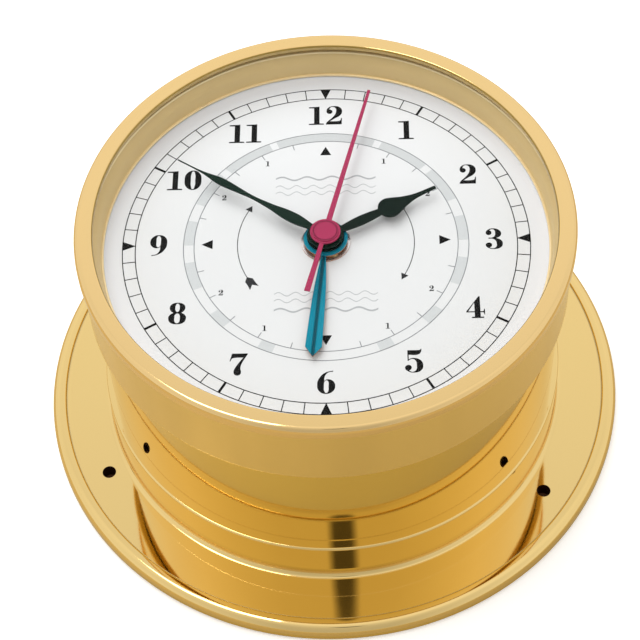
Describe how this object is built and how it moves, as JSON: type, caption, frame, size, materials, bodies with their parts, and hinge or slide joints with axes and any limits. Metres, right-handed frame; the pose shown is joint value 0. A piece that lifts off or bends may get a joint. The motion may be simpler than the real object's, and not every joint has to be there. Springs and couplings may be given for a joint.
{
  "type": "tide clock",
  "caption": "Tide clock in a round polished brass case with a flanged wall mount, and a quartz movement that turns the hour, minute, second and tide hands.",
  "frame": {"origin": "centre of the flange's underside, the face that goes against the wall", "axes": "+Z out of the dial along the hands' axis, +Y towards twelve o'clock, +X towards three o'clock; the clock is stored lying on its back"},
  "size_m": [0.18, 0.18, 0.0874],
  "materials": {
    "polished_brass": "polished and lacquered",
    "plain_brass": "turned",
    "black_rubber": "matt",
    "clear_glass": "polished",
    "white_enamel": "smooth white paint, printed",
    "satin_aluminium": "satin",
    "black_plastic": "moulded",
    "white_plastic": "moulded",
    "steel": "bright",
    "green_board": "lacquered board",
    "copper_wire": "enamelled copper wire",
    "battery_jacket": "shrink sleeve",
    "blue_paint": "gloss paint",
    "dark_green_paint": "gloss paint",
    "crimson_paint": "gloss paint"
  },
  "bodies": {
    "wall_plate": {"mounting_flange": "polished_brass", "grip_ring": "black_rubber"},
    "case": {"case_drum": "polished_brass", "dial_seat_ring": "satin_aluminium", "dial_plate": "white_enamel", "dial_feet": "plain_brass", "dial_foot_nuts": "plain_brass", "movement_tray": "black_plastic", "movement_cover": "black_plastic", "cover_screws": "steel", "front_bridge": "white_plastic", "rear_bridge": "white_plastic", "centre_bush": "plain_brass", "rubber_washer": "black_rubber", "centre_washer": "plain_brass", "centre_nut": "plain_brass", "circuit_board": "green_board", "driver_chip": "black_plastic", "crystal_can": "steel", "coil_bobbin": "white_plastic", "coil_winding": "copper_wire", "coil_core": "steel", "stator_plate": "steel", "battery_contact_plus": "steel", "battery_contact_minus": "steel"},
    "bezel": {"bezel_ring": "polished_brass", "glass": "clear_glass", "glass_gasket": "black_rubber", "reflector_ring": "polished_brass"},
    "battery": {"battery_cell": "battery_jacket"},
    "rotor": {"step_rotor": "steel"},
    "intermediate": {"intermediate_wheel": "white_plastic"},
    "seconds": {"seconds_arbor": "steel", "second_hand": "crimson_paint"},
    "third": {"third_wheel": "white_plastic"},
    "centre": {"centre_wheel": "plain_brass"},
    "minutes": {"minute_pipe": "plain_brass", "minute_hand": "dark_green_paint"},
    "motion": {"motion_wheel": "white_plastic"},
    "hours": {"hour_pipe": "plain_brass", "hour_hand": "dark_green_paint"},
    "idler": {"tide_idler": "white_plastic"},
    "tide_drive": {"tide_pipe": "plain_brass"},
    "tide_pointer": {"tide_hand": "blue_paint"},
    "knob": {"setting_knob": "black_plastic"}
  },
  "joints": [
    {"name": "case_lift", "type": "slide", "parent": "wall_plate", "child": "case", "axis": [0, 0, 1], "range_m": [0, 0.025]},
    {"name": "bezel_lift", "type": "slide", "parent": "case", "child": "bezel", "axis": [0, 0, 1], "range_m": [0, 0.03]},
    {"name": "battery_out", "type": "slide", "parent": "case", "child": "battery", "axis": [0, 0, -1], "range_m": [0, 0.03]},
    {"name": "seconds_turn", "type": "hinge", "parent": "case", "child": "seconds", "pos_m": [0, 0, 0.067], "axis": [0, 0, -1], "continuous": true},
    {"name": "intermediate_turn", "type": "hinge", "parent": "case", "child": "intermediate", "pos_m": [0.0042, 0.00727, 0.067], "axis": [0, 0, -1], "continuous": true},
    {"name": "rotor_turn", "type": "hinge", "parent": "case", "child": "rotor", "pos_m": [0.0042, 0.01447, 0.067], "axis": [0, 0, -1], "continuous": true},
    {"name": "third_turn", "type": "hinge", "parent": "case", "child": "third", "pos_m": [-0.00837, 0.00148, 0.067], "axis": [0, 0, -1], "continuous": true},
    {"name": "centre_turn", "type": "hinge", "parent": "case", "child": "centre", "pos_m": [0, 0, 0.067], "axis": [0, 0, -1], "continuous": true},
    {"name": "minutes_turn", "type": "hinge", "parent": "case", "child": "minutes", "pos_m": [0, 0, 0.067], "axis": [0, 0, -1], "continuous": true},
    {"name": "motion_turn", "type": "hinge", "parent": "case", "child": "motion", "pos_m": [0.01182, -0.00208, 0.067], "axis": [0, 0, -1], "continuous": true},
    {"name": "hours_turn", "type": "hinge", "parent": "case", "child": "hours", "pos_m": [0, 0, 0.067], "axis": [0, 0, -1], "continuous": true},
    {"name": "idler_turn", "type": "hinge", "parent": "case", "child": "idler", "pos_m": [-0.01083, 0.00625, 0.067], "axis": [0, 0, -1], "continuous": true},
    {"name": "tide_turn", "type": "hinge", "parent": "case", "child": "tide_drive", "pos_m": [0, 0, 0.067], "axis": [0, 0, -1], "continuous": true},
    {"name": "knob_turn", "type": "hinge", "parent": "case", "child": "knob", "pos_m": [0.01492, 0.00951, 0.067], "axis": [0, 0, -1], "continuous": true},
    {"name": "tide_hand_set", "type": "hinge", "parent": "tide_drive", "child": "tide_pointer", "pos_m": [0, 0, 0.067], "axis": [0, 0, -1], "continuous": true}
  ],
  "couplings": [
    {"joint": "intermediate_turn", "follows": "seconds_turn", "ratio": -6},
    {"joint": "rotor_turn", "follows": "seconds_turn", "ratio": 30},
    {"joint": "third_turn", "follows": "seconds_turn", "ratio": -0.13333},
    {"joint": "centre_turn", "follows": "seconds_turn", "ratio": 0.016667},
    {"joint": "motion_turn", "follows": "minutes_turn", "ratio": -0.33333},
    {"joint": "hours_turn", "follows": "minutes_turn", "ratio": 0.083333},
    {"joint": "idler_turn", "follows": "minutes_turn", "ratio": -0.2375},
    {"joint": "tide_turn", "follows": "minutes_turn", "ratio": 0.080508},
    {"joint": "knob_turn", "follows": "minutes_turn", "ratio": 1}
  ]
}
